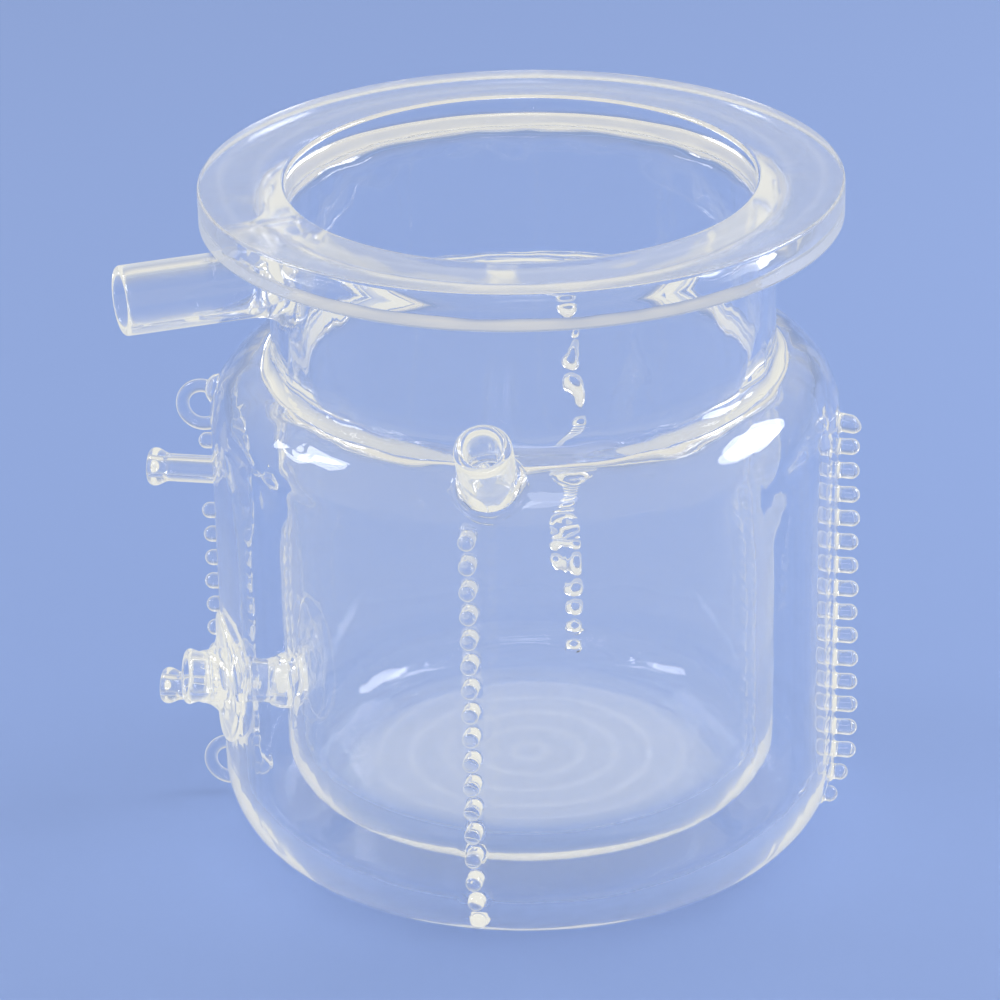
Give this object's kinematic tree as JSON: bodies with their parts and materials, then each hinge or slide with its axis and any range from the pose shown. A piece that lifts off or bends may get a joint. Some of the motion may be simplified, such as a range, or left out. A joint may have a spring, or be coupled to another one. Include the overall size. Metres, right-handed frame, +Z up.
{
  "type": "photocatalytic reactor",
  "caption": "Flanged reaction vessel of clear fused quartz sealed in a water jacket, with side ports, hose nipples, eyelets and rows of pegs for windings.",
  "frame": {"origin": "centre of the flat underside, on the vessel's axis", "axes": "+Z up along the vessel's axis to the mouth; -Y is the front, with the shoulder port; -X is the side of the hose nipples"},
  "size_m": [0.2303, 0.2191, 0.222],
  "materials": {
    "clear_quartz": "clear, fire-polished"
  },
  "bodies": {
    "root": {"top_flange": "clear_quartz", "flange_weld": "clear_quartz", "vessel_tube": "clear_quartz", "vessel_base": "clear_quartz", "neck_weld": "clear_quartz", "jacket_shoulder": "clear_quartz", "jacket_tube": "clear_quartz", "jacket_base": "clear_quartz", "side_tube": "clear_quartz", "side_tube_weld": "clear_quartz", "shoulder_port": "clear_quartz", "shoulder_port_weld": "clear_quartz", "sampling_port": "clear_quartz", "sampling_port_pad": "clear_quartz", "sampling_port_inner_tube": "clear_quartz", "upper_nipple": "clear_quartz", "upper_nipple_weld": "clear_quartz", "lower_nipple": "clear_quartz", "lower_nipple_weld": "clear_quartz", "upper_eyelet": "clear_quartz", "lower_eyelet": "clear_quartz", "front_pegs": "clear_quartz", "right_pegs": "clear_quartz", "back_pegs": "clear_quartz", "left_pegs": "clear_quartz"}
  },
  "joints": []
}
